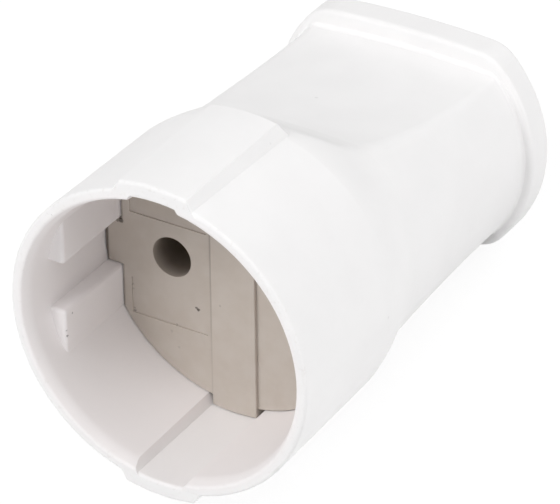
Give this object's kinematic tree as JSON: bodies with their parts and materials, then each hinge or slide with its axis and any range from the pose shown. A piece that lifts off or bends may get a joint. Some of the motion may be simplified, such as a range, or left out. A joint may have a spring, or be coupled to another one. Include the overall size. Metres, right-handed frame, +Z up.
{
  "type": "inline socket connector",
  "caption": "White inline mains socket: deep round recess with guide ribs, beige insert with pin holes, flattened grip and rear flange with a cable hole.",
  "frame": {"origin": "bottom centre of the socket as it lies on a table", "axes": "+Z up, +Y from the mouth towards the rear flange, +X to the right seen from the mouth; the socket's axis dips towards the rear by the few degrees at which it rests"},
  "size_m": [0.0442, 0.0726, 0.0496],
  "materials": {
    "white_plastic": "smooth satin moulding",
    "beige_plastic": "matt moulding",
    "brass": "stamped",
    "spring_steel": "rolled strip",
    "plated_steel": "zinc plated"
  },
  "bodies": {
    "root": {"housing": "white_plastic", "socket_insert": "beige_plastic", "contact_retainer": "beige_plastic", "cord_clamp_bar": "beige_plastic", "retainer_screw": "plated_steel", "contact_left": "brass", "contact_spring_left": "spring_steel", "terminal_washer_left": "plated_steel", "terminal_screw_left": "plated_steel", "cord_clamp_screw_left": "plated_steel", "contact_right": "brass", "contact_spring_right": "spring_steel", "terminal_washer_right": "plated_steel", "terminal_screw_right": "plated_steel", "cord_clamp_screw_right": "plated_steel"}
  },
  "joints": []
}
